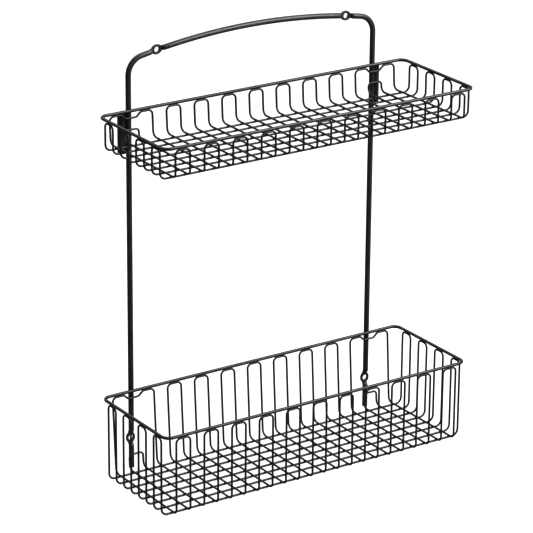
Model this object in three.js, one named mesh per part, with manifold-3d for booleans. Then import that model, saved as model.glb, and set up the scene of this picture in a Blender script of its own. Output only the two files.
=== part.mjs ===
// Two-tier wire shower caddy: one bent frame rod carries a shallow upper basket and a deep lower one.
// Millimetres, +Z up. X runs across the caddy and -Y is its front. The backs of the four screw eyelets
// lie in the plane y = 0, and the undersides of the lower basket and of the rod's ends lie in z = 0.
import * as THREE from 'three';
import loadManifold from 'manifold-3d';

const wasm = await loadManifold();
wasm.setup();
const { Manifold, Mesh: SolidMesh } = wasm;

// ---- Wire sizes ----
const ROD_D = 6;
const RIM_D = 3.5;
const WIRE_D = 2.2;
const TOUCH = 0.3; // clearance left between two pieces that touch and are welded

// ---- Baskets: both have the same plan ----
const BASKET_WIDTH = 396.5; // over the rim wire
const BASKET_DEPTH = 133.5; // over the rim wire
const CROSS_COUNT = 22; // wires running front to back
const LONG_COUNT = 8; // wires running left to right
const CROSS_END_MARGIN = 12.75; // end of the rim to the first cross wire, centre to centre
const LONG_BACK_MARGIN = 12.5; // back of the rim to the rearmost long wire, centre to centre
const LONG_FRONT_MARGIN = 9.5; // front of the rim to the foremost long wire, centre to centre
const RIM_CORNER_R = 9;
const FRONT_BEND_R = 5; // where a cross wire turns up into the front wall
const BACK_BEND_R = 6.5; // where a cross wire turns up into the back wall
const END_BEND_R = 7; // where a long wire turns up into an end wall
const HAIRPIN_R = 5; // where a wire turns over under the rim
const BACK_LEAN = THREE.MathUtils.degToRad(4); // the back wall leans forward towards its foot

const LOWER_BASKET = { name: 'lower', base: 0, height: 94.5, shortLoop: 20 };
const UPPER_BASKET = { name: 'upper', height: 37, shortLoop: 15 }; // its base hangs from the frame's top

// ---- The dip in the top of each wide end loop, in front of an upright ----
const DIP_DEPTH = 5;
const DIP_TOP_WIDTH = 24;
const DIP_FLOOR_WIDTH = 13;
const DIP_BEND_R = 3;
const SHORT_LOOP_R = 4;

// ---- Frame ----
const FRAME_HEIGHT = 485; // over the arch
const UPPER_RIM_DROP = 71; // from the top of the arch down to the top of the upper rim
const ARCH_END_SLOPE = THREE.MathUtils.degToRad(10.5);
const ARCH_CORNER_R = 20;
const ARCH_CORNER_STRAIGHT = 1; // the short straight between a corner and the arch

// ---- Eyelets: the rod pressed flat against its back and pierced ----
const EYELET_LENGTH = 13.4; // along the rod
const EYELET_WIDTH = 10.8;
const EYELET_HOLE_D = 6;
const EYELET_T = 2.4;
const EYELET_STEP_RUN = 2.2; // length of the slope from the flat up to the full rod
const LOWER_EYELET_Z = 35;
const ARCH_EYELET_INSET = 36; // from an upright to the arch eyelet beside it

// ---- Sleeves welded outside the uprights, at the upper basket ----
const SLEEVE_D = 9;
const SLEEVE_BORE = 6.4;
const SLEEVE_LENGTH = 45;
const SLEEVE_BELOW_RIM = 3;
const SLEEVE_ANGLE = THREE.MathUtils.degToRad(26); // how far behind the rod's side it sits

// ---- Faceting ----
const WIRE_SIDES = 6;
const RIM_SIDES = 8;
const ROD_SIDES = 12;
const WIRE_BEND_STEP = THREE.MathUtils.degToRad(45);
const RIM_BEND_STEP = THREE.MathUtils.degToRad(22.5);
const ROD_BEND_STEP = THREE.MathUtils.degToRad(10);
const MAX_BEND_RUN = 25; // longest stretch of a wide bend between two stations
const EYELET_SIDES = 24;
const SLEEVE_SIDES = 16;

// ---- Places that follow from the sizes ----
UPPER_BASKET.base = FRAME_HEIGHT - UPPER_RIM_DROP - UPPER_BASKET.height;
const RIM_HALF_WIDTH = (BASKET_WIDTH - RIM_D) / 2;
const ROD_Y = -ROD_D / 2;
const RIM_BACK_Y = -(ROD_D + TOUCH + RIM_D / 2);
const RIM_FRONT_Y = RIM_BACK_Y - (BASKET_DEPTH - RIM_D);
const CROSS_PITCH = (2 * (RIM_HALF_WIDTH - CROSS_END_MARGIN)) / (CROSS_COUNT - 1);
const LONG_PITCH = (RIM_BACK_Y - RIM_FRONT_Y - LONG_BACK_MARGIN - LONG_FRONT_MARGIN) / (LONG_COUNT - 1);
const LONG_Z = WIRE_D / 2; // centre of a long wire above the basket's underside
const CROSS_Z = LONG_Z + WIRE_D + TOUCH; // the cross wires lie on the long ones
const RIM_Z_DROP = RIM_D / 2;
const WIRE_TOP_DROP = RIM_D + TOUCH + WIRE_D / 2; // a hairpin's centre below the top of the rim

const crossX = (index) => -RIM_HALF_WIDTH + CROSS_END_MARGIN + index * CROSS_PITCH;
const longY = (index) => RIM_BACK_Y - LONG_BACK_MARGIN - index * LONG_PITCH;
const UPRIGHT_X = -(crossX(1) + crossX(2)) / 2; // an upright stands behind each end window

const coat = (tone) => new THREE.MeshStandardMaterial({ color: tone, roughness: 0.46, metalness: 0.2 });
const caddy = new THREE.Group();

function addPart(name, geometry, material, parent) {
  const part = new THREE.Mesh(geometry, material);
  part.name = name;
  parent.add(part);
  return part;
}

// ---- Bent wire ----

const corner = (x, y, z, radius) => ({ at: new THREE.Vector3(x, y, z), radius });

// Straight runs joined by arcs, with a station at each step of each bend and none between.
class BentPath extends THREE.Curve {
  constructor(corners, bendStep) {
    super();
    this.stations = [];
    const last = corners.length - 1;
    const heading = (from, to) => to.at.clone().sub(from.at).normalize();
    this.addStation(corners[0].at, heading(corners[0], corners[1]));
    for (let i = 1; i < last; i++) {
      this.addBend(corners[i], heading(corners[i - 1], corners[i]), heading(corners[i], corners[i + 1]), bendStep);
    }
    this.addStation(corners[last].at, heading(corners[last - 1], corners[last]));
  }

  addStation(point, tangent) {
    this.stations.push({ point: point.clone(), tangent: tangent.clone() });
  }

  addBend(bend, incoming, outgoing, bendStep) {
    const turn = incoming.angleTo(outgoing);
    const axis = incoming.clone().cross(outgoing).normalize();
    const inward = axis.clone().cross(incoming);
    const start = bend.at.clone().addScaledVector(incoming, -bend.radius * Math.tan(turn / 2));
    const centre = start.clone().addScaledVector(inward, bend.radius);
    const steps = Math.max(1, Math.round(turn / bendStep), Math.round((turn * bend.radius) / MAX_BEND_RUN));
    for (let i = 0; i <= steps; i++) {
      const angle = (turn * i) / steps;
      const spoke = inward.clone().multiplyScalar(-bend.radius).applyAxisAngle(axis, angle);
      this.addStation(spoke.add(centre), incoming.clone().applyAxisAngle(axis, angle));
    }
  }

  get steps() {
    return this.stations.length - 1;
  }

  getUtoTmapping(u) {
    return u;
  }

  getPoint(t, target = new THREE.Vector3()) {
    return target.copy(this.stations[Math.round(t * this.steps)].point);
  }

  getTangent(t, target = new THREE.Vector3()) {
    return target.copy(this.stations[Math.round(t * this.steps)].tangent);
  }
}

function tube(path, diameter, sides) {
  const outline = [];
  for (let i = 0; i < sides; i++) {
    const angle = (2 * Math.PI * i) / sides;
    outline.push(new THREE.Vector2(Math.cos(angle), Math.sin(angle)).multiplyScalar(diameter / 2));
  }
  return new THREE.ExtrudeGeometry(new THREE.Shape(outline), { steps: path.steps, extrudePath: path });
}

// A wire bent into a closed loop, with its butt joint halfway between the last corner and the first.
function wireLoop(corners, diameter, sides, bendStep) {
  const first = corners[0].at;
  const last = corners[corners.length - 1].at;
  const joint = first.clone().add(last).divideScalar(2);
  const halfGap = first.clone().sub(last).setLength(TOUCH / 2);
  const start = { at: joint.clone().add(halfGap), radius: 0 };
  const end = { at: joint.clone().sub(halfGap), radius: 0 };
  return tube(new BentPath([start, ...corners, end], bendStep), diameter, sides);
}

// ---- Baskets ----

const rimZ = (basket) => basket.base + basket.height - RIM_Z_DROP;
const wireTopZ = (basket) => basket.base + basket.height - WIRE_TOP_DROP;
const backY = (basket, z) => RIM_BACK_Y - (wireTopZ(basket) - z) * Math.tan(BACK_LEAN);

function rimLoop(basket) {
  const z = rimZ(basket);
  const corners = [
    corner(RIM_HALF_WIDTH, RIM_BACK_Y, z, RIM_CORNER_R),
    corner(RIM_HALF_WIDTH, RIM_FRONT_Y, z, RIM_CORNER_R),
    corner(-RIM_HALF_WIDTH, RIM_FRONT_Y, z, RIM_CORNER_R),
    corner(-RIM_HALF_WIDTH, RIM_BACK_Y, z, RIM_CORNER_R),
  ];
  return wireLoop(corners, RIM_D, RIM_SIDES, RIM_BEND_STEP);
}

// Two long wires and the hairpins that join them at both ends.
function longLoop(basket, index) {
  const floor = basket.base + LONG_Z;
  const top = wireTopZ(basket);
  const y1 = longY(index);
  const y2 = longY(index + 1);
  const end = (x, from, to) => [
    corner(x, from, floor, END_BEND_R),
    corner(x, from, top, HAIRPIN_R),
    corner(x, to, top, HAIRPIN_R),
    corner(x, to, floor, END_BEND_R),
  ];
  const corners = [...end(RIM_HALF_WIDTH, y1, y2), ...end(-RIM_HALF_WIDTH, y2, y1)];
  return wireLoop(corners, WIRE_D, WIRE_SIDES, WIRE_BEND_STEP);
}

// The way up the front wall from one cross wire and down it to the next.
function frontHairpin(basket, x1, x2) {
  const floor = basket.base + CROSS_Z;
  const top = wireTopZ(basket);
  return [
    corner(x1, RIM_FRONT_Y, floor, FRONT_BEND_R),
    corner(x1, RIM_FRONT_Y, top, HAIRPIN_R),
    corner(x2, RIM_FRONT_Y, top, HAIRPIN_R),
    corner(x2, RIM_FRONT_Y, floor, FRONT_BEND_R),
  ];
}

// The same at the back, up to a chosen height, with any extra corners along its top.
function backHairpin(basket, x1, x2, top, radius, along = []) {
  const floor = basket.base + CROSS_Z;
  return [
    corner(x1, backY(basket, floor), floor, BACK_BEND_R),
    corner(x1, backY(basket, top), top, radius),
    ...along,
    corner(x2, backY(basket, top), top, radius),
    corner(x2, backY(basket, floor), floor, BACK_BEND_R),
  ];
}

// The corners of the dip, run through from high x to low x.
function dipCorners(x, y, top) {
  const low = top - DIP_DEPTH;
  return [
    corner(x + DIP_TOP_WIDTH / 2, y, top, DIP_BEND_R),
    corner(x + DIP_FLOOR_WIDTH / 2, y, low, DIP_BEND_R),
    corner(x - DIP_FLOOR_WIDTH / 2, y, low, DIP_BEND_R),
    corner(x - DIP_TOP_WIDTH / 2, y, top, DIP_BEND_R),
  ];
}

function crossLoop(basket, index) {
  const x1 = crossX(index);
  const x2 = crossX(index + 1);
  const back = backHairpin(basket, x2, x1, wireTopZ(basket), HAIRPIN_R);
  return wireLoop([...frontHairpin(basket, x1, x2), ...back], WIRE_D, WIRE_SIDES, WIRE_BEND_STEP);
}

// Four cross wires in one loop: the outer two join over a dip and the inner two by a short hairpin.
function endCrossLoop(basket, index, uprightX) {
  const [x1, x2, x3, x4] = [0, 1, 2, 3].map((step) => crossX(index + step));
  const top = wireTopZ(basket);
  const shortTop = basket.base + basket.shortLoop;
  const corners = [
    ...frontHairpin(basket, x1, x2),
    ...backHairpin(basket, x2, x3, shortTop, SHORT_LOOP_R),
    ...frontHairpin(basket, x3, x4),
    ...backHairpin(basket, x4, x1, top, HAIRPIN_R, dipCorners(uprightX, RIM_BACK_Y, top)),
  ];
  return wireLoop(corners, WIRE_D, WIRE_SIDES, WIRE_BEND_STEP);
}

function addBasket(basket) {
  const group = new THREE.Group();
  const name = (part) => `${basket.name}_basket_${part}`;
  addPart(name('rim'), rimLoop(basket), coat('#1b1c1e'), group);
  for (let i = 0; i < LONG_COUNT; i += 2) {
    addPart(name(`long_wire_loop_${i / 2 + 1}`), longLoop(basket, i), coat('#1d1e20'), group);
  }
  addPart(name('left_end_cross_wire_loop'), endCrossLoop(basket, 0, -UPRIGHT_X), coat('#19191b'), group);
  for (let i = 4; i < CROSS_COUNT - 4; i += 2) {
    addPart(name(`cross_wire_loop_${i / 2 - 1}`), crossLoop(basket, i), coat('#19191b'), group);
  }
  const rightEnd = endCrossLoop(basket, CROSS_COUNT - 4, UPRIGHT_X);
  addPart(name('right_end_cross_wire_loop'), rightEnd, coat('#19191b'), group);
  caddy.add(group);
}

// ---- Frame rod ----

const ARCH_REACH = UPRIGHT_X / Math.cos(ARCH_END_SLOPE);
const ARCH_CORNER_SETBACK = ARCH_CORNER_R * Math.tan((Math.PI / 2 - ARCH_END_SLOPE) / 2);
const ARCH_R = (ARCH_REACH - ARCH_CORNER_SETBACK - ARCH_CORNER_STRAIGHT) / Math.tan(ARCH_END_SLOPE);
const ARCH_TOP_Z = FRAME_HEIGHT - ROD_D / 2;
const ARCH_CENTRE_Z = ARCH_TOP_Z - ARCH_R;

function framePath() {
  const apexZ = ARCH_CENTRE_Z + ARCH_R / Math.cos(ARCH_END_SLOPE);
  const shoulderZ = apexZ - UPRIGHT_X * Math.tan(ARCH_END_SLOPE);
  const corners = [
    corner(-UPRIGHT_X, ROD_Y, 0, 0),
    corner(-UPRIGHT_X, ROD_Y, shoulderZ, ARCH_CORNER_R),
    corner(0, ROD_Y, apexZ, ARCH_R),
    corner(UPRIGHT_X, ROD_Y, shoulderZ, ARCH_CORNER_R),
    corner(UPRIGHT_X, ROD_Y, 0, 0),
  ];
  return new BentPath(corners, ROD_BEND_STEP);
}

function toSolid(geometry) {
  const position = geometry.attributes.position;
  const index = geometry.index ? geometry.index.array : Uint32Array.from({ length: position.count }, (_, i) => i);
  const mesh = new SolidMesh({
    numProp: 3,
    vertProperties: new Float32Array(position.array),
    triVerts: new Uint32Array(index),
  });
  mesh.merge();
  return new Manifold(mesh);
}

function toGeometry(solid) {
  const mesh = solid.getMesh();
  const geometry = new THREE.BufferGeometry();
  geometry.setAttribute('position', new THREE.BufferAttribute(mesh.vertProperties, mesh.numProp));
  geometry.setIndex(new THREE.BufferAttribute(mesh.triVerts, 1));
  geometry.computeVertexNormals();
  return geometry;
}

// A slug along Y from the given depth to the back plane, centred on x = 0 and z = 0. It is round unless
// its length along X is given too.
function slug(width, front, back, length = width) {
  const geometry = new THREE.CylinderGeometry(width / 2, width / 2, back - front, EYELET_SIDES);
  geometry.scale(length / width, 1, 1);
  geometry.translate(0, (front + back) / 2, 0);
  return toSolid(geometry);
}

// What is pressed out of the rod's front at an eyelet: flat in the middle with a slope at both ends.
function eyeletRelief() {
  const flat = EYELET_LENGTH / 2;
  const outside = ROD_D + TOUCH;
  const rise = ((outside - EYELET_T) / (ROD_D - EYELET_T)) * EYELET_STEP_RUN;
  const profile = new THREE.Shape();
  profile.moveTo(-flat, -EYELET_T);
  profile.lineTo(flat, -EYELET_T);
  profile.lineTo(flat + rise, -outside);
  profile.lineTo(-flat - rise, -outside);
  const geometry = new THREE.ExtrudeGeometry(profile, { depth: EYELET_WIDTH, bevelEnabled: false });
  geometry.translate(0, 0, -EYELET_WIDTH / 2);
  return toSolid(geometry);
}

// Where the eyelets sit, and how far the rod's direction there is turned from +X.
function eyeletPlaces() {
  const archX = UPRIGHT_X - ARCH_EYELET_INSET;
  const archZ = ARCH_CENTRE_Z + Math.sqrt(ARCH_R ** 2 - archX ** 2);
  const slope = THREE.MathUtils.radToDeg(Math.asin(archX / ARCH_R));
  return [
    { x: -UPRIGHT_X, z: LOWER_EYELET_Z, turn: 90 },
    { x: -archX, z: archZ, turn: slope },
    { x: archX, z: archZ, turn: -slope },
    { x: UPRIGHT_X, z: LOWER_EYELET_Z, turn: 90 },
  ];
}

function frameGeometry() {
  let frame = toSolid(tube(framePath(), ROD_D, ROD_SIDES));
  const disc = slug(EYELET_WIDTH, -EYELET_T, 0, EYELET_LENGTH);
  const hole = slug(EYELET_HOLE_D, -ROD_D, ROD_D);
  const relief = eyeletRelief();
  for (const { x, z, turn } of eyeletPlaces()) {
    const place = (solid) => solid.rotate([0, -turn, 0]).translate([x, 0, z]);
    frame = frame.subtract(place(relief)).add(place(disc)).subtract(place(hole));
  }
  return toGeometry(frame);
}

// ---- Sleeves ----

function sleeveGeometry() {
  const inner = SLEEVE_BORE / 2;
  const outer = SLEEVE_D / 2;
  const profile = [
    new THREE.Vector2(inner, 0),
    new THREE.Vector2(outer, 0),
    new THREE.Vector2(outer, SLEEVE_LENGTH),
    new THREE.Vector2(inner, SLEEVE_LENGTH),
    new THREE.Vector2(inner, 0),
  ];
  const geometry = new THREE.LatheGeometry(profile, SLEEVE_SIDES);
  geometry.rotateX(Math.PI / 2);
  return geometry;
}

function addSleeves() {
  const offset = (ROD_D + SLEEVE_D) / 2 + TOUCH;
  const x = UPRIGHT_X + offset * Math.cos(SLEEVE_ANGLE);
  const y = ROD_Y + offset * Math.sin(SLEEVE_ANGLE);
  const z = rimZ(UPPER_BASKET) - SLEEVE_BELOW_RIM - SLEEVE_LENGTH;
  for (const [side, sign] of [['left', -1], ['right', 1]]) {
    const sleeve = addPart(`${side}_sleeve`, sleeveGeometry(), coat('#17181a'), caddy);
    sleeve.position.set(sign * x, y, z);
  }
}

addPart('frame_rod', frameGeometry(), coat('#202123'), caddy);
addBasket(UPPER_BASKET);
addBasket(LOWER_BASKET);
addSleeves();

export default caddy;
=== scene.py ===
# %% [markdown]
# # A two-tier wire shower caddy
#
# The real caddy is one bent rod with two wire baskets and two short tubes welded to it, all under one satin
# black powder coat. Nothing on it moves.
#
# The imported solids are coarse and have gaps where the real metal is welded. So every one of them is replaced
# here by a smooth piece bent the way a wire bender works, and the welds are added. Places and sizes are read
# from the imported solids, so the pieces fall where the solids are.

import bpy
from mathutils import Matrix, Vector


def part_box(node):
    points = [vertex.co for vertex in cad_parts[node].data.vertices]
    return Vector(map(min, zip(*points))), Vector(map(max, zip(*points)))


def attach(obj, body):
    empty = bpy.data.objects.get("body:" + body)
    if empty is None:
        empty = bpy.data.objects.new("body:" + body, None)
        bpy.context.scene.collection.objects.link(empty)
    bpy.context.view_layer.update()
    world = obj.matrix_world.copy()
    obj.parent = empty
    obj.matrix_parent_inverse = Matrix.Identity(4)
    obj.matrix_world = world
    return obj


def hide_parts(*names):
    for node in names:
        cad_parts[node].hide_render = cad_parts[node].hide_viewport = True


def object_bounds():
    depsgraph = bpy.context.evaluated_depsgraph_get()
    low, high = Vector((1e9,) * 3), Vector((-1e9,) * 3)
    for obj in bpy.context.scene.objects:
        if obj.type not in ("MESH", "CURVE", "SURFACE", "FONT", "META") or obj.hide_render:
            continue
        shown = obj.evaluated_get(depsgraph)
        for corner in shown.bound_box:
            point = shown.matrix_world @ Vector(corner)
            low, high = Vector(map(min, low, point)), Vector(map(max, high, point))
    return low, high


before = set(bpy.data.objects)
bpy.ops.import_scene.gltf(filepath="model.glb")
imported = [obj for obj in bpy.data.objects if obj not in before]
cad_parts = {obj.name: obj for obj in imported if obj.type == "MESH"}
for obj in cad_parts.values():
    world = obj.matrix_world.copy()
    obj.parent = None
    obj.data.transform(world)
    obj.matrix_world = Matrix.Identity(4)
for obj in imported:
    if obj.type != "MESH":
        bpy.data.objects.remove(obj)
cad_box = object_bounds()
print("packed solids:", len(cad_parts), "box from", tuple(cad_box[0]), "to", tuple(cad_box[1]))

# %% [markdown]
# ## The stock
#
# A caddy like this is made from three drawn wires: a thick rod for the frame, a middle one for the rims and
# a thin one for the mesh. Everything else follows from those and from the tools that bend them, so they are
# named once, here. Blender works in metres.

# %% Stock sizes
import math
from types import SimpleNamespace

import bmesh
import bpy
from mathutils import Quaternion, Vector

MM = 0.001
ROD = 6 * MM
RIM = 3.5 * MM
WIRE = 2.2 * MM
WELD_GAP = 0.3 * MM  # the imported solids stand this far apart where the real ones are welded
HAIR = 0.01 * MM  # two places closer than this are the same place

X, Y, Z = Vector((1, 0, 0)), Vector((0, 1, 0)), Vector((0, 0, 1))

# %% [markdown]
# ## Where the wires run
#
# Both baskets have the same plan, so one small function measures either of them. A loop's middle is exact
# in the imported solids, whatever the number of facets, so the pitches come from the middles of neighbours.
# The wires are set down touching, because the real ones are: the cross wires lie on the long ones, and the
# hairpins reach right up to the rim.

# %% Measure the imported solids


def middle(node):
    """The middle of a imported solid's box."""
    low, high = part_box(node)
    return (low + high) / 2


def measure_basket(name):
    """Where one basket's rim and wires run, all on their centre lines."""
    low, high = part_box(f"{name}_basket_rim")
    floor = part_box(f"{name}_basket_long_wire_loop_1")[0].z
    return SimpleNamespace(
        name=name,
        side=high.x - RIM / 2,
        back=high.y - RIM / 2,
        front=low.y + RIM / 2,
        rim=high.z - RIM / 2,
        hairpin=low.z - WIRE / 2,
        long_floor=floor + WIRE / 2,
        cross_floor=floor + WIRE / 2 + WIRE,
    )


baskets = [measure_basket("upper"), measure_basket("lower")]
cross_pitch = (middle("lower_basket_cross_wire_loop_2") - middle("lower_basket_cross_wire_loop_1")).x / 2
long_pitch = (middle("lower_basket_long_wire_loop_1") - middle("lower_basket_long_wire_loop_2")).y / 2
upright = middle("lower_basket_right_end_cross_wire_loop").x
print("cross pitch", round(cross_pitch / MM, 3), "long pitch", round(long_pitch / MM, 3), "mm")
for basket in baskets:
    print(basket.name, "rim at", round(basket.rim / MM, 2), "mm, hairpins at", round(basket.hairpin / MM, 2))

# %% [markdown]
# ## The powder coat
#
# Powder coat is a baked plastic skin. It melts, flows a little and sets with a faint orange peel about a
# millimetre across, and under that a much finer grain that makes it satin rather than glossy. Its black isn't
# even either: it is a shade paler where the powder lay thin.
#
# All the metal wears the same coat, so the effect is one node group, used by four materials with their own
# values. Three noises do it: a broad one for the shade, a middle one for the peel and a fine one for the
# grain. A picture of paint would need unwrapping and would blur close up. Noise in object space does
# neither. Three small helpers come first: one adds a socket to the group, one makes a noise of a real size,
# and one stretches it.

# %% Node helpers
NOISE_LOW, NOISE_HIGH = 0.35, 0.65  # nearly all of a noise lies between these


def socket(group, way, name, kind, value=None):
    """Adds one named input or output to a node group."""
    made = group.interface.new_socket(name=name, in_out=way, socket_type=kind)
    if value is not None:
        made.default_value = value


def noise(group, place, name, size, detail):
    """A noise whose lumps are about the given size across: a length, or a socket that holds one."""
    nodes, links = group.nodes, group.links
    lumps = nodes.new("ShaderNodeTexNoise")
    lumps.label = name
    lumps.inputs["Detail"].default_value = detail
    links.new(place, lumps.inputs["Vector"])
    if isinstance(size, float):
        lumps.inputs["Scale"].default_value = 1 / size
        return lumps.outputs["Fac"]
    per_metre = nodes.new("ShaderNodeMath")
    per_metre.operation = "DIVIDE"
    per_metre.inputs[0].default_value = 1
    links.new(size, per_metre.inputs[1])
    links.new(per_metre.outputs[0], lumps.inputs["Scale"])
    return lumps.outputs["Fac"]


def spread(group, value):
    """A node that stretches the middle of a noise over its To Min..To Max, which start as 0..1."""
    stretch = group.nodes.new("ShaderNodeMapRange")
    stretch.inputs["From Min"].default_value = NOISE_LOW
    stretch.inputs["From Max"].default_value = NOISE_HIGH
    group.links.new(value, stretch.inputs["Value"])
    return stretch


# %% The powder coat group
DRIFT_SIZE = 18 * MM
GRAIN_SIZE = 0.22 * MM
GRAIN_SHARE = 0.15  # how deep the grain is against the peel


def powder_coat_group():
    """Shade, roughness and surface normal of a baked powder coat, from a place on the object."""
    group = bpy.data.node_groups.new("powder_coat", "ShaderNodeTree")
    socket(group, "INPUT", "Place", "NodeSocketVector")
    socket(group, "INPUT", "Thick Coat", "NodeSocketColor", (0.01, 0.01, 0.011, 1))
    socket(group, "INPUT", "Thin Coat", "NodeSocketColor", (0.03, 0.03, 0.032, 1))
    socket(group, "INPUT", "Peel Size", "NodeSocketFloat", 1.1 * MM)
    socket(group, "INPUT", "Peel Depth", "NodeSocketFloat", 0.02 * MM)
    socket(group, "INPUT", "Smoothest", "NodeSocketFloat", 0.36)
    socket(group, "INPUT", "Roughest", "NodeSocketFloat", 0.5)
    socket(group, "OUTPUT", "Color", "NodeSocketColor")
    socket(group, "OUTPUT", "Roughness", "NodeSocketFloat")
    socket(group, "OUTPUT", "Normal", "NodeSocketVector")

    nodes, links = group.nodes, group.links
    given = nodes.new("NodeGroupInput").outputs
    result = nodes.new("NodeGroupOutput").inputs
    drift = noise(group, given["Place"], "drift of the powder", DRIFT_SIZE, detail=3)
    peel = noise(group, given["Place"], "orange peel", given["Peel Size"], detail=1)
    grain = noise(group, given["Place"], "satin grain", GRAIN_SIZE, detail=2)

    shade = nodes.new("ShaderNodeMix")
    shade.data_type = "RGBA"
    links.new(spread(group, drift).outputs["Result"], shade.inputs["Factor"])
    links.new(given["Thick Coat"], shade.inputs["A"])
    links.new(given["Thin Coat"], shade.inputs["B"])
    links.new(shade.outputs["Result"], result["Color"])

    satin = spread(group, grain)
    links.new(given["Smoothest"], satin.inputs["To Min"])
    links.new(given["Roughest"], satin.inputs["To Max"])
    links.new(satin.outputs["Result"], result["Roughness"])

    height = nodes.new("ShaderNodeMath")
    height.operation = "MULTIPLY_ADD"
    height.inputs[1].default_value = GRAIN_SHARE
    links.new(grain, height.inputs[0])
    links.new(peel, height.inputs[2])
    bump = nodes.new("ShaderNodeBump")
    bump.inputs["Strength"].default_value = 1
    links.new(given["Peel Depth"], bump.inputs["Distance"])
    links.new(height.outputs[0], bump.inputs["Height"])
    links.new(bump.outputs["Normal"], result["Normal"])
    return group


coat_group = powder_coat_group()
print("powder coat group:", len(coat_group.nodes), "nodes")

# %% [markdown]
# ## Four finishes from one coat
#
# Thick stock holds heat and lets the powder flow longer, so the rod is smoother, with a broader peel. The
# rod's coat is also set a shade paler than the rest: that is painted light, which lifts the uprights and the
# arch as more light on them would. The mesh wire has a tight, small peel. The short tubes sit in a shadow of
# the spray and come out a little drier. The values say so. What is the same all over a surface, such as its
# IOR, is set on the shader's own sockets.

# %% One coat as a material
COAT_IOR = 1.5
COAT_SPECULAR = 0.5


def coat_material(name, thick, thin, peel_size, peel_depth, smoothest, roughest):
    """A material in the powder coat, with its own shade, peel and gloss."""
    material = bpy.data.materials.new(name)
    material.use_nodes = True
    nodes, links = material.node_tree.nodes, material.node_tree.links
    shader = nodes["Principled BSDF"]
    shader.inputs["Metallic"].default_value = 0
    shader.inputs["IOR"].default_value = COAT_IOR
    shader.inputs["Specular IOR Level"].default_value = COAT_SPECULAR
    place = nodes.new("ShaderNodeTexCoord")
    coat = nodes.new("ShaderNodeGroup")
    coat.node_tree = coat_group
    coat.inputs["Thick Coat"].default_value = (*thick, 1)
    coat.inputs["Thin Coat"].default_value = (*thin, 1)
    coat.inputs["Peel Size"].default_value = peel_size
    coat.inputs["Peel Depth"].default_value = peel_depth
    coat.inputs["Smoothest"].default_value = smoothest
    coat.inputs["Roughest"].default_value = roughest
    links.new(place.outputs["Object"], coat.inputs["Place"])
    for effect, target in (("Color", "Base Color"), ("Roughness", "Roughness"), ("Normal", "Normal")):
        links.new(coat.outputs[effect], shader.inputs[target])
    return material


# %% The four materials
COATS = {
    "frame_coat": dict(
        # painted light: these base colours are a shade paler than the other coats, to stand in for light on
        # the uprights and the arch
        thick=(0.028, 0.028, 0.029),
        thin=(0.044, 0.044, 0.046),
        peel_size=1.6 * MM,
        peel_depth=0.050 * MM,
        smoothest=0.36,
        roughest=0.46,
    ),
    "rim_coat": dict(
        thick=(0.022, 0.022, 0.023),
        thin=(0.036, 0.036, 0.038),
        peel_size=1.2 * MM,
        peel_depth=0.036 * MM,
        smoothest=0.36,
        roughest=0.46,
    ),
    "wire_coat": dict(
        thick=(0.017, 0.017, 0.018),
        thin=(0.029, 0.029, 0.031),
        peel_size=0.8 * MM,
        peel_depth=0.022 * MM,
        smoothest=0.38,
        roughest=0.50,
    ),
    "sleeve_coat": dict(
        thick=(0.014, 0.014, 0.015),
        thin=(0.024, 0.024, 0.026),
        peel_size=1.4 * MM,
        peel_depth=0.044 * MM,
        smoothest=0.44,
        roughest=0.56,
    ),
}
finishes = {name: coat_material(name, **values) for name, values in COATS.items()}
print("finishes:", ", ".join(finishes))

# %% [markdown]
# ## Bench tools
#
# A few small helpers do what a hand does between operators: select one piece, fix its place, pick points
# by where they are, close a mesh up, copy a piece, and hand a finished one to the frame. Loading leaves the
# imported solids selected, so every new piece starts by deselecting everything.

# %% Selecting


def alone(piece):
    """Selects one piece and nothing else."""
    bpy.ops.object.select_all(action="DESELECT")
    piece.select_set(True)
    bpy.context.view_layer.objects.active = piece


def settle(piece, name):
    """Names a new piece and moves its place, turn and size into its mesh."""
    piece.name = name
    piece.data.name = name
    bpy.ops.object.transform_apply(location=True, rotation=True, scale=True)
    return piece


def pick(piece, test, kind="VERT"):
    """In edit mode, selects the points, edges or faces whose middle passes the test, and nothing else."""
    bpy.ops.mesh.select_mode(type=kind)
    bpy.ops.mesh.select_all(action="DESELECT")
    mesh = bmesh.from_edit_mesh(piece.data)
    parts = {"VERT": mesh.verts, "EDGE": mesh.edges, "FACE": mesh.faces}[kind]
    for part in parts:
        corners = [part.co] if kind == "VERT" else [corner.co for corner in part.verts]
        part.select_set(test(sum(corners, Vector()) / len(corners)))
    mesh.select_flush_mode()
    bmesh.update_edit_mesh(piece.data)


# %% Closing, copying and handing over
WELD_REACH = 0.02 * MM  # points closer than this become one
SMOOTH_ANGLE = math.radians(40)  # an edge sharper than this stays an edge


def weld_rings(reach=WELD_REACH):
    """In edit mode, welds the rings that meet and points every face outwards."""
    bpy.ops.mesh.select_all(action="SELECT")
    bpy.ops.mesh.remove_doubles(threshold=reach)
    bpy.ops.mesh.normals_make_consistent(inside=False)


def close_up(piece, reach=WELD_REACH):
    """Welds a finished piece's rings and smooths its faces, on the way out of edit mode."""
    weld_rings(reach)
    bpy.ops.object.mode_set(mode="OBJECT")
    bpy.ops.object.shade_smooth_by_angle(angle=SMOOTH_ANGLE)
    return piece


def copy_piece(piece, name, move):
    """A copy of a finished piece with its own mesh, moved inside that mesh."""
    alone(piece)
    bpy.ops.object.duplicate(linked=False)
    bpy.ops.transform.translate(value=move)
    return settle(bpy.context.object, name)


def hand_over(piece, finish, *solids):
    """Gives a finished piece its coat, parents it to the root body and hides the imported solids it stands
    for.
    """
    piece.data.materials.clear()
    piece.data.materials.append(finishes[finish])
    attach(piece, "root")
    if solids:
        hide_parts(*solids)


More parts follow.
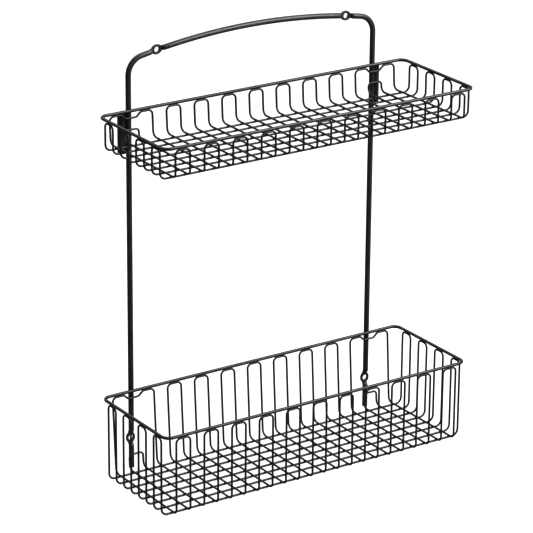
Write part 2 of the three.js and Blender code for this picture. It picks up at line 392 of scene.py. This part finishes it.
# %% [markdown]
# ## Bending wire
#
# A wire bender feeds wire straight, then rolls it round a pin. Two mesh operators do exactly that: extrude
# feeds the end ring forward, and spin rolls it round a centre. A curve with a round bevel would be quicker,
# but its bends come out as splines rather than true arcs, and its ends can't be welded into a ring.
#
# A route is a list of corners, each with the radius of its pin. The straight run stops short of the corner
# by `radius * tan(turn / 2)`, where the arc begins. Spin turns clockwise when seen against its axis, so the
# angle is given as a negative number.

# %% Feed and roll


def start_ring(name, thickness, sides, at, heading):
    """A bare ring across the wire's first direction, left in edit mode and selected."""
    bpy.ops.object.select_all(action="DESELECT")
    bpy.ops.mesh.primitive_circle_add(
        vertices=sides,
        radius=thickness / 2,
        location=at,
        rotation=heading.to_track_quat("Z", "Y").to_euler(),
    )
    ring = settle(bpy.context.object, name)
    bpy.ops.object.mode_set(mode="EDIT")
    bpy.ops.mesh.select_all(action="SELECT")
    return ring


def feed(way):
    """Feeds the selected ring straight on."""
    bpy.ops.mesh.extrude_region_move(TRANSFORM_OT_translate={"value": way})


def roll(at, heading, new_heading, radius, step):
    """Rolls the selected ring round a pin, from one heading to the next."""
    turn = heading.angle(new_heading)
    axis = heading.cross(new_heading).normalized()
    pin = at + axis.cross(heading) * radius
    steps = max(2, round(turn / step))
    bpy.ops.mesh.spin(steps=steps, angle=-turn, center=pin, axis=axis)


def setback(heading, new_heading, radius):
    """How far before its corner an arc begins."""
    return radius * math.tan(heading.angle(new_heading) / 2)


# %% [markdown]
# ## A closed loop
#
# Every rim and every group of mesh wires is one closed loop of wire, whose two ends are pressed together
# and butt-welded. That leaves a small collar: the wire swells in two steps up to the seam, and thins again
# in two. Where the collar is ground off, the wire runs straight through.

# %% Bend a closed loop
BEAD_STEP = 0.5 * MM
BEAD_GROWTH = 1.07  # from one ring of the collar to the next
BEAD_RINGS = 2  # on each side of the seam


def bead(heading, growth):
    """Feeds the selected ring on as it swells or thins, once for each ring of the collar."""
    for _ in range(BEAD_RINGS):
        feed(heading * BEAD_STEP)
        bpy.ops.transform.resize(value=(growth, growth, growth))


def bend_loop(name, thickness, sides, route, step, collar=True):
    """Bends a closed loop of wire, butt-welded midway between its last corner and its first."""
    corners = [corner for corner, _ in route]
    seam = (corners[0] + corners[-1]) / 2
    heading = (corners[0] - seam).normalized()
    swell = BEAD_GROWTH**BEAD_RINGS if collar else 1
    wire = start_ring(name, thickness * swell, sides, seam, heading)
    here = seam
    if collar:
        bead(heading, 1 / BEAD_GROWTH)
        here = seam + heading * BEAD_RINGS * BEAD_STEP
    for (corner, radius), following in zip(route, corners[1:] + [seam]):
        new_heading = (following - corner).normalized()
        stop = corner - heading * setback(heading, new_heading, radius)
        feed(stop - here)
        roll(stop, heading, new_heading, radius, step)
        here = corner + new_heading * setback(heading, new_heading, radius)
        heading = new_heading
    if collar:
        feed(seam - heading * BEAD_RINGS * BEAD_STEP - here)
        bead(heading, BEAD_GROWTH)
    else:
        feed(seam - here)
    return close_up(wire)


# %% [markdown]
# ## The rims
#
# A rim is the thickest wire of a basket: a rounded rectangle with its ends butt-welded in the middle of the
# back. Sixteen sides and a ring every nine degrees keep its corners round in a close view. The two
# rims are alike, so the lower one is a copy.

# %% The rims
RIM_SIDES = 16
RIM_CORNER = 9 * MM
RIM_STEP = math.radians(9)


def rim_route(basket):
    """Four corners, clockwise from the back right one when seen from above."""
    return [
        (Vector((x, y, basket.rim)), RIM_CORNER)
        for x, y in (
            (basket.side, basket.back),
            (basket.side, basket.front),
            (-basket.side, basket.front),
            (-basket.side, basket.back),
        )
    ]


upper, lower = baskets
rim = bend_loop("upper_rim", RIM, RIM_SIDES, rim_route(upper), RIM_STEP)
rims = {"upper": rim, "lower": copy_piece(rim, "lower_rim", Z * (lower.rim - upper.rim))}
for name, piece in rims.items():
    hand_over(piece, "rim_coat", f"{name}_basket_rim")
    print(piece.name, len(piece.data.polygons), "faces")

# %% [markdown]
# ## The long wires
#
# The long wires run from end to end in pairs. Each pair is one loop: along the floor, up the end wall, over
# in a hairpin under the rim, and back. The basket stands on these wires, so their joint is ground flush and
# has no collar. One loop is bent for each basket and copied three times at the same pitch.

# %% The long wires
WIRE_SIDES = 12
WIRE_STEP = math.radians(11.25)
HAIRPIN = 5 * MM
END_BEND = 7 * MM
LONG_LOOPS = 4


def long_route(basket, y_first, y_second):
    """Up and over the right end, along the floor, and up and over the left end."""

    def up_and_over(x, y_up, y_down):
        return [
            (Vector((x, y_up, basket.long_floor)), END_BEND),
            (Vector((x, y_up, basket.hairpin)), HAIRPIN),
            (Vector((x, y_down, basket.hairpin)), HAIRPIN),
            (Vector((x, y_down, basket.long_floor)), END_BEND),
        ]

    return up_and_over(basket.side, y_first, y_second) + up_and_over(-basket.side, y_second, y_first)


for basket in baskets:
    y_middle = middle(f"{basket.name}_basket_long_wire_loop_1").y
    route = long_route(basket, y_middle + long_pitch / 2, y_middle - long_pitch / 2)
    first = bend_loop(f"{basket.name}_long_wires_1", WIRE, WIRE_SIDES, route, WIRE_STEP, collar=False)
    loops = [first] + [
        copy_piece(first, f"{basket.name}_long_wires_{i + 1}", Y * (-2 * long_pitch * i))
        for i in range(1, LONG_LOOPS)
    ]
    for i, loop in enumerate(loops):
        hand_over(loop, "wire_coat", f"{basket.name}_basket_long_wire_loop_{i + 1}")
    print(basket.name, "long wires:", len(loops), "loops of", len(first.data.polygons), "faces")

# %% [markdown]
# ## The cross wires
#
# The cross wires lie on the long ones and run from front to back, again in pairs. The front wall is upright
# and turns up on a small pin. The back wall turns up on a wider one and leans back by four degrees as it
# rises, so that its hairpin ends under the rim.

# %% The plain cross wires
FRONT_BEND = 5 * MM
BACK_BEND = 6.5 * MM
BACK_LEAN = math.radians(4)
CROSS_LOOPS = 7


def back_y(basket, z):
    """How far back the leaning wall is at a height."""
    return basket.back - (basket.hairpin - z) * math.tan(BACK_LEAN)


def front_hairpin(basket, x_up, x_down):
    """Up the front wall and down again."""
    return [
        (Vector((x_up, basket.front, basket.cross_floor)), FRONT_BEND),
        (Vector((x_up, basket.front, basket.hairpin)), HAIRPIN),
        (Vector((x_down, basket.front, basket.hairpin)), HAIRPIN),
        (Vector((x_down, basket.front, basket.cross_floor)), FRONT_BEND),
    ]


def back_hairpin(basket, x_up, x_down, top, radius, along=()):
    """Up the leaning back wall to a height and down again, with any corners along its top."""
    foot = back_y(basket, basket.cross_floor)
    return [
        (Vector((x_up, foot, basket.cross_floor)), BACK_BEND),
        (Vector((x_up, back_y(basket, top), top)), radius),
        *along,
        (Vector((x_down, back_y(basket, top), top)), radius),
        (Vector((x_down, foot, basket.cross_floor)), BACK_BEND),
    ]


for basket in baskets:
    x_middle = middle(f"{basket.name}_basket_cross_wire_loop_1").x
    x_left, x_right = x_middle - cross_pitch / 2, x_middle + cross_pitch / 2
    route = front_hairpin(basket, x_left, x_right)
    route += back_hairpin(basket, x_right, x_left, basket.hairpin, HAIRPIN)
    first = bend_loop(f"{basket.name}_cross_wires_1", WIRE, WIRE_SIDES, route, WIRE_STEP)
    loops = [first] + [
        copy_piece(first, f"{basket.name}_cross_wires_{i + 1}", X * (2 * cross_pitch * i))
        for i in range(1, CROSS_LOOPS)
    ]
    for i, loop in enumerate(loops):
        hand_over(loop, "wire_coat", f"{basket.name}_basket_cross_wire_loop_{i + 1}")
    print(basket.name, "cross wires:", len(loops), "loops of", len(first.data.polygons), "faces")

# %% [markdown]
# ## The end loops
#
# At each end, four cross wires are one long loop. Its two inner wires stop low, in a short hairpin, and its
# two outer ones join in a wide hairpin that dips in front of the upright. That leaves the upright's face
# bare where the rim is welded to it.

# %% The end loops
SHORT_HAIRPIN = 4 * MM
SHORT_TOP = {"upper": 15 * MM, "lower": 20 * MM}  # the short hairpin's height over the basket's underside
DIP_DEPTH = 5 * MM
DIP_TOP = 24 * MM
DIP_FLOOR = 13 * MM
DIP_BEND = 3 * MM


def dip(basket, x):
    """The dip in the wide hairpin, from right to left."""
    low = basket.hairpin - DIP_DEPTH
    return [
        (Vector((x + DIP_TOP / 2, basket.back, basket.hairpin)), DIP_BEND),
        (Vector((x + DIP_FLOOR / 2, basket.back, low)), DIP_BEND),
        (Vector((x - DIP_FLOOR / 2, basket.back, low)), DIP_BEND),
        (Vector((x - DIP_TOP / 2, basket.back, basket.hairpin)), DIP_BEND),
    ]


for basket in baskets:
    x1, x2, x3, x4 = (-upright + cross_pitch * step for step in (-1.5, -0.5, 0.5, 1.5))
    short_top = basket.long_floor - WIRE / 2 + SHORT_TOP[basket.name]
    route = front_hairpin(basket, x1, x2)
    route += back_hairpin(basket, x2, x3, short_top, SHORT_HAIRPIN)
    route += front_hairpin(basket, x3, x4)
    route += back_hairpin(basket, x4, x1, basket.hairpin, HAIRPIN, dip(basket, -upright))
    left = bend_loop(f"{basket.name}_left_end_wires", WIRE, WIRE_SIDES, route, WIRE_STEP)
    right = copy_piece(left, f"{basket.name}_right_end_wires", X * 2 * upright)
    hand_over(left, "wire_coat", f"{basket.name}_basket_left_end_cross_wire_loop")
    hand_over(right, "wire_coat", f"{basket.name}_basket_right_end_cross_wire_loop")
    print(basket.name, "end loops of", len(left.data.polygons), "faces")

# %% [markdown]
# ## The eyelets
#
# Where the caddy is screwed up, the rod is pressed flat against a block and pierced. What is left is a thin
# ring, flush with the rod's back, with a steep swelling on either side up to the full rod.
#
# A boolean cut would leave hard edges that are difficult to round. Instead the ring's cross-section, a
# rectangle with rounded corners, is spun round the screw's axis. Its outer half is then drawn out along the
# rod, because the press spreads the metal that way and leaves an oval with a round hole. Then a window is
# opened in its outer wall on each side, and bridge grows a smooth neck from that window to the end ring of
# the rod. The window has five faces by seven, whose border has 24 points, so the rod gets 24 sides.

# %% One eyelet
ROD_SIDES = 24
EYELET = 12 * MM  # as spun, before it is drawn out
EYELET_LENGTH = 13.4 * MM
EYELET_WIDTH = 10.8 * MM
EYELET_HOLE = 6 * MM
EYELET_THICK = 2.4 * MM
EYELET_ROUNDING = 0.5 * MM
EYELET_STEPS = 32
ROUNDING_STEPS = 3
NECK_END = 9.4 * MM  # from the screw's axis to where the rod is full again
NECK_FACES = 5


def pressed_eyelet():
    """One eyelet, open on both sides, with its hole on the Y axis, its back on y = 0 and the rod along X."""
    wall = (EYELET - EYELET_HOLE) / 2
    bpy.ops.object.select_all(action="DESELECT")
    bpy.ops.mesh.primitive_plane_add(size=1, location=((EYELET - wall) / 2, -EYELET_THICK / 2, 0))
    bpy.context.object.scale = (wall, EYELET_THICK, 1)
    ring = settle(bpy.context.object, "eyelet")
    bpy.ops.object.mode_set(mode="EDIT")
    bpy.ops.mesh.select_all(action="SELECT")
    bpy.ops.mesh.bevel(offset=EYELET_ROUNDING, segments=ROUNDING_STEPS, affect="VERTICES")
    bpy.ops.mesh.delete(type="ONLY_FACE")
    bpy.ops.mesh.select_all(action="SELECT")
    half_step = math.pi / EYELET_STEPS
    bpy.ops.transform.rotate(value=half_step, orient_axis="Y", center_override=(0, 0, 0))
    bpy.ops.mesh.spin(steps=EYELET_STEPS, angle=math.tau, center=(0, 0, 0), axis=Y)
    weld_rings()
    half_window = NECK_FACES * half_step
    outer = EYELET / 2 - EYELET_ROUNDING

    def in_window(point):
        flat = Vector((point.x, point.z))
        return flat.length > outer and abs(math.atan2(point.z, abs(point.x))) < half_window

    pick(ring, in_window, "FACE")
    bpy.ops.mesh.delete(type="FACE")
    wall_middle = (EYELET + EYELET_HOLE) / 4
    pick(ring, lambda point: math.hypot(point.x, point.z) > wall_middle)
    oval = (EYELET_LENGTH / EYELET, 1, EYELET_WIDTH / EYELET)
    bpy.ops.transform.resize(value=oval, center_override=(0, -EYELET_THICK / 2, 0))
    bpy.ops.object.mode_set(mode="OBJECT")
    return ring


eyelet = pressed_eyelet()
print("eyelet before its necks:", len(eyelet.data.polygons), "faces")

# %% [markdown]
# ## The necks
#
# A circle the size of the rod is added on each side, in the same mesh, and bridged to the window beside it.
# Bridge matches point to point, and its path interpolation leaves both ends square, which gives the neck
# the S-shape of pressed metal.

# %% Bridge the necks
NECK_RINGS = 4
BORDER_SLACK = 0.98  # the middle of an edge lies a little inside the circle of its ends


def grow_necks(ring):
    """Adds the end rings of the rod and bridges each to the window beside it."""
    alone(ring)
    bpy.ops.object.mode_set(mode="EDIT")
    for side in (-1, 1):
        bpy.ops.mesh.primitive_circle_add(
            vertices=ROD_SIDES,
            radius=ROD / 2,
            location=(side * NECK_END, -ROD / 2, 0),
            rotation=(0, math.pi / 2, 0),
        )
    edge = BORDER_SLACK * (EYELET / 2 - EYELET_ROUNDING)
    half_window = NECK_FACES * math.pi / EYELET_STEPS * EYELET_WIDTH / EYELET
    for side in (-1, 1):

        def on_border(point):
            away = math.hypot(point.x, point.z)
            return point.x * side > 0 and away > edge and abs(math.atan2(point.z, abs(point.x))) < half_window

        pick(ring, on_border, "EDGE")
        bpy.ops.mesh.bridge_edge_loops(number_cuts=NECK_RINGS, interpolation="PATH", smoothness=1)
    bpy.ops.object.mode_set(mode="OBJECT")


grow_necks(eyelet)
print("eyelet with its necks:", len(eyelet.data.polygons), "faces")

# %% [markdown]
# ## The frame rod
#
# Half a rod is enough, because a mirror makes the other half. The two eyelets of the half are set down
# first. Then rod is fed out of their open ends: down to the foot, up round the corner to the arch, and along
# the arch to the middle. Every ring keeps its points in line with the eyelets', so the ends meet point to
# point.
#
# The arch is a very wide arc that leaves the corners ten and a half degrees from level. An eyelet is
# straight, so it sits on a chord of the arc, a hair below it.

# %% The frame's shape
ARCH_SLOPE = math.radians(10.5)
ARCH_CORNER = 20 * MM
ARCH_CORNER_STRAIGHT = 1 * MM
LOWER_EYELET_HEIGHT = 35 * MM
ARCH_EYELET_INSET = 36 * MM
FOOT_ROUNDING = 0.5 * MM
FOOT_STEPS = 2
CORNER_STEP = math.radians(6)
ARCH_STEP = math.radians(0.6)

rod_low, rod_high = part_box("frame_rod")
rod_y = rod_high.y - ROD / 2
arch_z = rod_high.z - ROD / 2
corner_setback = ARCH_CORNER * math.tan((math.pi / 2 - ARCH_SLOPE) / 2)
arch_reach = upright / math.cos(ARCH_SLOPE) - corner_setback - ARCH_CORNER_STRAIGHT
arch_radius = arch_reach / math.tan(ARCH_SLOPE)
arch_centre = Vector((0, rod_y, arch_z - arch_radius))
shoulder = arch_centre.z + arch_radius / math.cos(ARCH_SLOPE) - upright * math.tan(ARCH_SLOPE)
print("arch radius", round(arch_radius / MM, 1), "mm, shoulder at", round(shoulder / MM, 1), "mm")


def on_arch(slope):
    """The point of the arch's left half where the rod rises at that slope."""
    return arch_centre + Vector((-math.sin(slope), 0, math.cos(slope))) * arch_radius


def uphill(slope):
    """The way that the rod runs there."""
    return Vector((math.cos(slope), 0, math.sin(slope)))


# %% Set down the eyelets
eyelet_slope = math.asin((upright - ARCH_EYELET_INSET) / arch_radius)
chord_turn = math.asin(NECK_END / arch_radius)
foot_eyelet = Vector((-upright, rod_y, rod_low.z + LOWER_EYELET_HEIGHT))
arch_eyelet = (on_arch(eyelet_slope + chord_turn) + on_arch(eyelet_slope - chord_turn)) / 2


def set_down(name, at, slope):
    """A copy of the eyelet, its rod on the given point and running at the given slope."""
    copy = copy_piece(eyelet, name, Vector())
    copy.rotation_euler.y = -slope
    copy.location = (at.x, rod_high.y, at.z)
    return settle(copy, name)


rod = set_down("frame", foot_eyelet, math.pi / 2)
second = set_down("arch_eyelet", arch_eyelet, eyelet_slope)
bpy.data.objects.remove(eyelet)
alone(rod)
second.select_set(True)
bpy.ops.object.join()
print("two eyelets:", len(rod.data.polygons), "faces")

# %% Feed the rod


def pick_ring(piece, at, heading):
    """Selects the open end of rod round a point."""

    def on_ring(point):
        along = (point - at).dot(heading)
        return abs(along) < HAIR and (point - at).length < ROD / 2 + HAIR

    pick(piece, on_ring)


bpy.ops.object.mode_set(mode="EDIT")

# from the lower eyelet down to the foot, which is closed and rounded
foot = Vector((-upright, rod_y, rod_low.z))
ring_at = foot_eyelet - Z * NECK_END
pick_ring(rod, ring_at, Z)
feed(foot - ring_at)
bpy.ops.mesh.edge_face_add()
pick(rod, lambda point: point.z < rod_low.z + HAIR, "EDGE")
bpy.ops.mesh.bevel(offset=FOOT_ROUNDING, segments=FOOT_STEPS)

# from the lower eyelet up, round the corner and along the arch to its eyelet
ring_at = foot_eyelet + Z * NECK_END
pick_ring(rod, ring_at, Z)
corner_start = Vector((-upright, rod_y, shoulder - corner_setback))
feed(corner_start - ring_at)
roll(corner_start, Z, uphill(ARCH_SLOPE), ARCH_CORNER, CORNER_STEP)
feed(uphill(ARCH_SLOPE) * ARCH_CORNER_STRAIGHT)
before, after = eyelet_slope + chord_turn, eyelet_slope - chord_turn
roll(on_arch(ARCH_SLOPE), uphill(ARCH_SLOPE), uphill(before), arch_radius, ARCH_STEP)

# from the arch's eyelet to the middle
pick_ring(rod, on_arch(after), uphill(eyelet_slope))
roll(on_arch(after), uphill(after), X, arch_radius, ARCH_STEP)
bpy.ops.object.mode_set(mode="OBJECT")
print("half a frame:", len(rod.data.polygons), "faces")

# %% Mirror the frame
FRAME_REACH = 0.1 * MM  # the fed rings meet the eyelets' rings within this
alone(rod)
mirror = rod.modifiers.new("other half", "MIRROR")
mirror.merge_threshold = WELD_REACH
bpy.ops.object.modifier_apply(modifier=mirror.name)
bpy.ops.object.mode_set(mode="EDIT")
close_up(rod, FRAME_REACH)
hand_over(rod, "frame_coat", "frame_rod")
print("frame:", len(rod.data.polygons), "faces")

# %% [markdown]
# ## The sleeves
#
# A short tube is welded outside each upright. Its wall is a rectangle with rounded corners, spun round the
# tube's axis, so both rims are rounded inside and out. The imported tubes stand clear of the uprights, so
# these are moved across that gap.

# %% The sleeves
SLEEVE_BORE = 6.4 * MM
SLEEVE_ROUNDING = 0.35 * MM
SLEEVE_STEPS = 32


def sleeve_tube(name, low, high):
    """An open tube with rounded rims that fills the given box."""
    outside = high.x - low.x
    wall = (outside - SLEEVE_BORE) / 2
    axis = (low + high) / 2
    bpy.ops.object.select_all(action="DESELECT")
    bpy.ops.mesh.primitive_plane_add(
        size=1, location=(high.x - wall / 2, axis.y, axis.z), rotation=(math.pi / 2, 0, 0)
    )
    bpy.context.object.scale = (wall, high.z - low.z, 1)
    tube = settle(bpy.context.object, name)
    bpy.ops.object.mode_set(mode="EDIT")
    bpy.ops.mesh.select_all(action="SELECT")
    bpy.ops.mesh.bevel(offset=SLEEVE_ROUNDING, segments=ROUNDING_STEPS, affect="VERTICES")
    bpy.ops.mesh.delete(type="ONLY_FACE")
    bpy.ops.mesh.select_all(action="SELECT")
    bpy.ops.mesh.spin(steps=SLEEVE_STEPS, angle=math.tau, center=axis, axis=Z)
    return close_up(tube)


def towards_tube(side):
    """The way from an upright's axis to its tube's."""
    axis = middle(f"{side}_sleeve")
    return (axis - Vector((math.copysign(upright, axis.x), rod_y, axis.z))).normalized()


for side in ("left", "right"):
    way = towards_tube(side)
    low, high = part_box(f"{side}_sleeve")
    tube = sleeve_tube(f"{side}_tube", low - way * WELD_GAP, high - way * WELD_GAP)
    hand_over(tube, "sleeve_coat", f"{side}_sleeve")
    print(tube.name, len(tube.data.polygons), "faces")

# %% [markdown]
# ## Weld metal
#
# The mesh is resistance-welded: the crossed wires are pinched between two electrodes, melt where they touch,
# and squeeze out a small pillow with four lobes, one in each corner of the cross. The coat then flows round
# it. A pillow is a sphere of 32 faces, flattened, with its four diagonal points pulled out. There are
# hundreds, so one is modelled and arrays repeat it over the grid, within one mesh for each basket.

# %% Weld tools
PILLOW_SEGMENTS = 8
PILLOW_RINGS = 4


def pillow(name, at, size, lobes=1.0):
    """A small pillow of weld metal, with its four corners pulled out by the factor given."""
    bpy.ops.object.select_all(action="DESELECT")
    bpy.ops.mesh.primitive_uv_sphere_add(
        segments=PILLOW_SEGMENTS, ring_count=PILLOW_RINGS, radius=0.5, location=at
    )
    bpy.context.object.scale = size
    piece = settle(bpy.context.object, name)
    bpy.ops.object.mode_set(mode="EDIT")

    def on_corner(point):
        """One of the four diagonal points of the pillow's waist, whatever its size."""
        reach = [abs(point[axis] - at[axis]) / size[axis] for axis in range(3)]
        return reach[2] < 0.01 and min(reach[0], reach[1]) > 0.3

    pick(piece, on_corner)
    bpy.ops.transform.resize(value=(lobes, lobes, 1))
    bpy.ops.object.mode_set(mode="OBJECT")
    bpy.ops.object.shade_smooth()
    return piece


def repeat(piece, count, step):
    """Repeats a piece in a row, within its own mesh."""
    alone(piece)
    row = piece.modifiers.new("row", "ARRAY")
    row.count = count
    row.use_relative_offset = False
    row.use_constant_offset = True
    row.constant_offset_displace = step
    bpy.ops.object.modifier_apply(modifier=row.name)
    return piece


def join(name, pieces):
    """Joins pieces into the first of them."""
    alone(pieces[0])
    for piece in pieces[1:]:
        piece.select_set(True)
    bpy.ops.object.join()
    return settle(pieces[0], name)


# %% The welds of the mesh
CROSS_WIRES = 2 * CROSS_LOOPS + 2 * 4  # each of the two end loops has four
LONG_WIRES = 2 * LONG_LOOPS
CROSSING = Vector((1.9, 1.9, 1.25)) * MM
LOBES = 1.2  # how far the corners of a crossing's pillow are pulled out

first_cross = -upright - 1.5 * cross_pitch
for basket in baskets:
    first_long = middle(f"{basket.name}_basket_long_wire_loop_1").y + long_pitch / 2
    contact = basket.long_floor + WIRE / 2
    welds = pillow(f"{basket.name}_mesh_welds", Vector((first_cross, first_long, contact)), CROSSING, LOBES)
    repeat(welds, CROSS_WIRES, X * cross_pitch)
    repeat(welds, LONG_WIRES, Y * -long_pitch)
    hand_over(welds, "wire_coat")
    print(basket.name, "mesh welds:", len(welds.data.polygons), "faces")

# %% [markdown]
# ## Where the rims sit
#
# Every hairpin is welded to the underside of its rim along a short line, which leaves a longer, flatter
# pillow. The wide hairpins at the ends have one on either side of their dip.

# %% The welds under the rims
SEAT_LONG = 4.5 * MM
SEAT_WIDE = 1.7 * MM
SEAT_DEEP = 0.9 * MM
DIP_SEAT = (DIP_TOP / 2 + 1.5 * cross_pitch - HAIRPIN) / 2  # the middle of the flat beside a dip

for basket in baskets:
    under_rim = basket.hairpin + WIRE / 2
    across = Vector((SEAT_LONG, SEAT_WIDE, SEAT_DEEP))
    along = Vector((SEAT_WIDE, SEAT_LONG, SEAT_DEEP))
    y_first = middle(f"{basket.name}_basket_long_wire_loop_1").y
    x_front = first_cross + cross_pitch / 2
    x_back = middle(f"{basket.name}_basket_cross_wire_loop_1").x
    rows = [
        (Vector((x_front, basket.front, under_rim)), across, CROSS_WIRES // 2, X * 2 * cross_pitch),
        (Vector((x_back, basket.back, under_rim)), across, CROSS_LOOPS, X * 2 * cross_pitch),
        (Vector((-basket.side, y_first, under_rim)), along, LONG_LOOPS, Y * -2 * long_pitch),
        (Vector((basket.side, y_first, under_rim)), along, LONG_LOOPS, Y * -2 * long_pitch),
        (Vector((-upright - DIP_SEAT, basket.back, under_rim)), across, 2, X * 2 * DIP_SEAT),
        (Vector((upright - DIP_SEAT, basket.back, under_rim)), across, 2, X * 2 * DIP_SEAT),
    ]
    seats = [repeat(pillow("seat", at, size), count, step) for at, size, count, step in rows]
    seat = join(f"{basket.name}_rim_welds", seats)
    hand_over(seat, "rim_coat")
    print(basket.name, "rim welds:", len(seat.data.polygons), "faces")

# %% [markdown]
# ## The heavy welds
#
# Each rim crosses the two uprights, and a large pillow holds it to each. The sleeves touch the uprights
# along a line, so they are seamed by hand at both ends: a row of overlapping puddles that fills the groove.

# %% The welds on the frame
RIM_TO_ROD = Vector((4.0, 1.7, 3.2)) * MM
PUDDLE = Vector((2.7, 2.7, 2.4)) * MM
PUDDLE_STEP = 1.3 * MM
PUDDLES = 6
SEAM_INSET = 5 * MM

heavy = []
for basket in baskets:
    at = Vector((-upright, (rod_y - ROD / 2 + basket.back + RIM / 2) / 2, basket.rim))
    heavy.append(repeat(pillow("rim_to_rod", at, RIM_TO_ROD), 2, X * 2 * upright))
for side, (low, high) in (("left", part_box("left_sleeve")), ("right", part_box("right_sleeve"))):
    way = towards_tube(side)
    touch = Vector((math.copysign(upright, way.x), rod_y, 0)) + way * ROD / 2
    for bottom in (low.z + SEAM_INSET, high.z - SEAM_INSET - PUDDLE_STEP * (PUDDLES - 1)):
        at = Vector((touch.x, touch.y, bottom))
        heavy.append(repeat(pillow("seam", at, PUDDLE), PUDDLES, Z * PUDDLE_STEP))
heavy_welds = join("frame_welds", heavy)
hand_over(heavy_welds, "frame_coat")
print("frame welds:", len(heavy_welds.data.polygons), "faces")

# %% [markdown]
# ## The floor
#
# The floor is large, so that it is all the camera sees behind the caddy. If lamps alone lit it to white, it
# would flood the black wires from below and swallow their edges. So to the lamps it is a dull grey with a
# faint mottle, and a glow that only the camera sees lifts it to white.

# %% The floor
FLOOR_SIZE = 16
FLOOR_BELOW = 0.2 * MM  # how far under the caddy it lies
FLOOR_GLOW = 0.87  # what the camera sees of the floor besides the light that falls on it
FLOOR_TONES = (0.19, 0.21)  # between these, patch by patch
FLOOR_MOTTLE = 1.5  # patches in a metre
FLOOR_ROUGHNESS = 0.9


def pale_floor():
    """A wide plain floor, which isn't part of the caddy."""
    bpy.ops.object.select_all(action="DESELECT")
    bpy.ops.mesh.primitive_plane_add(size=FLOOR_SIZE, location=(0, 0, cad_box[0].z - FLOOR_BELOW))
    floor = settle(bpy.context.object, "floor")
    material = bpy.data.materials.new("pale_floor")
    material.use_nodes = True
    nodes, links = material.node_tree.nodes, material.node_tree.links
    place = nodes.new("ShaderNodeTexCoord")
    mottle = nodes.new("ShaderNodeTexNoise")
    mottle.inputs["Scale"].default_value = FLOOR_MOTTLE
    tone = nodes.new("ShaderNodeMix")
    tone.data_type = "RGBA"
    for name, grey in zip("AB", FLOOR_TONES):
        tone.inputs[name].default_value = (grey, grey, grey, 1)
    seen = nodes.new("ShaderNodeLightPath")
    shader = nodes["Principled BSDF"]
    shader.inputs["Roughness"].default_value = FLOOR_ROUGHNESS
    shader.inputs["Emission Color"].default_value = (FLOOR_GLOW, FLOOR_GLOW, FLOOR_GLOW, 1)
    links.new(place.outputs["Object"], mottle.inputs["Vector"])
    links.new(mottle.outputs["Fac"], tone.inputs["Factor"])
    links.new(tone.outputs["Result"], shader.inputs["Base Color"])
    links.new(seen.outputs["Is Camera Ray"], shader.inputs["Emission Strength"])
    floor.data.materials.append(material)
    return floor


floor = pale_floor()
print("floor:", FLOOR_SIZE, "m wide")

# %% [markdown]
# ## The light
#
# Black wire shows its shape by what it mirrors. One large soft box to the right, in front and above puts a
# broad grey band on every wire that runs across the view and leaves the others nearly black. A weaker one
# behind and above lights the far edges, and a pale room fills the rest.
#
# A render averages the light where a thin dark wire crosses white, so the wire looks thinner and paler than
# it does to the eye. A picture gamma below one darkens those in-between tones and gives the wires weight.

# %% The light
ROOM_LIGHT = 0.5
PICTURE_GAMMA = 0.72
caddy_middle = (cad_box[0] + cad_box[1]) / 2


def soft_box(name, way, distance, size, power):
    """A square area light that looks at the caddy from the given direction."""
    light = bpy.data.lights.new(name, "AREA")
    light.size = size
    light.energy = power
    holder = bpy.data.objects.new(name, light)
    bpy.context.scene.collection.objects.link(holder)
    direction = Vector(way).normalized()
    holder.location = caddy_middle + direction * distance
    holder.rotation_euler = direction.to_track_quat("Z", "Y").to_euler()


def pale_room(strength):
    """Even light from all round. The camera sees the room as white."""
    world = bpy.data.worlds.new("room")
    world.use_nodes = True
    bpy.context.scene.world = world
    nodes, links = world.node_tree.nodes, world.node_tree.links
    seen = nodes.new("ShaderNodeLightPath")
    light = nodes.new("ShaderNodeMath")
    light.operation = "MULTIPLY_ADD"
    light.inputs[1].default_value = 1 - strength
    light.inputs[2].default_value = strength
    nodes["Background"].inputs["Color"].default_value = (1, 1, 1, 1)
    links.new(seen.outputs["Is Camera Ray"], light.inputs[0])
    links.new(light.outputs[0], nodes["Background"].inputs["Strength"])


soft_box("key", way=(0.525, -0.54, 0.65), distance=2.2, size=1.5, power=95)
soft_box("back", way=(0, 0.65, 0.76), distance=2.6, size=2.0, power=34)
pale_room(ROOM_LIGHT)
bpy.context.scene.view_settings.view_transform = "Standard"
bpy.context.scene.view_settings.gamma = PICTURE_GAMMA
print("two soft boxes and a pale room")

# %% [markdown]
# ## The camera
#
# The view is from the left, from above and from far away, with a long lens. That keeps the wires nearly
# parallel. The camera looks a little left of the caddy's middle and above it, so that the caddy sits low and
# to the right in a square picture, and it is rolled by half a degree.

# %% The camera
AZIMUTH = math.radians(-34.23)
ELEVATION = math.radians(21.07)
ROLL = math.radians(0.49)
DISTANCE = 3.228
LENS = 200.3
SENSOR = 36  # millimetres, as the lens is
AIM = Vector((0, -0.065, 0.2033))
AIM_LEFT = 18.7 * MM
AIM_UP = 18.7 * MM


def add_camera():
    """A camera turned round the caddy, aimed a little to the left of it and above."""
    data = bpy.data.cameras.new("camera")
    data.lens = LENS
    data.sensor_width = SENSOR
    camera = bpy.data.objects.new("camera", data)
    bpy.context.scene.collection.objects.link(camera)
    back = Vector(
        (
            math.sin(AZIMUTH) * math.cos(ELEVATION),
            -math.cos(AZIMUTH) * math.cos(ELEVATION),
            math.sin(ELEVATION),
        )
    )
    right = Z.cross(back).normalized()
    up = back.cross(right)
    camera.location = AIM + back * DISTANCE
    aim = AIM - right * AIM_LEFT + up * AIM_UP
    look = (camera.location - aim).to_track_quat("Z", "Y")
    camera.rotation_euler = (look @ Quaternion((0, 0, 1), ROLL)).to_euler()
    bpy.context.scene.camera = camera
    return camera


camera = add_camera()
print("camera at", tuple(round(part, 3) for part in camera.location))
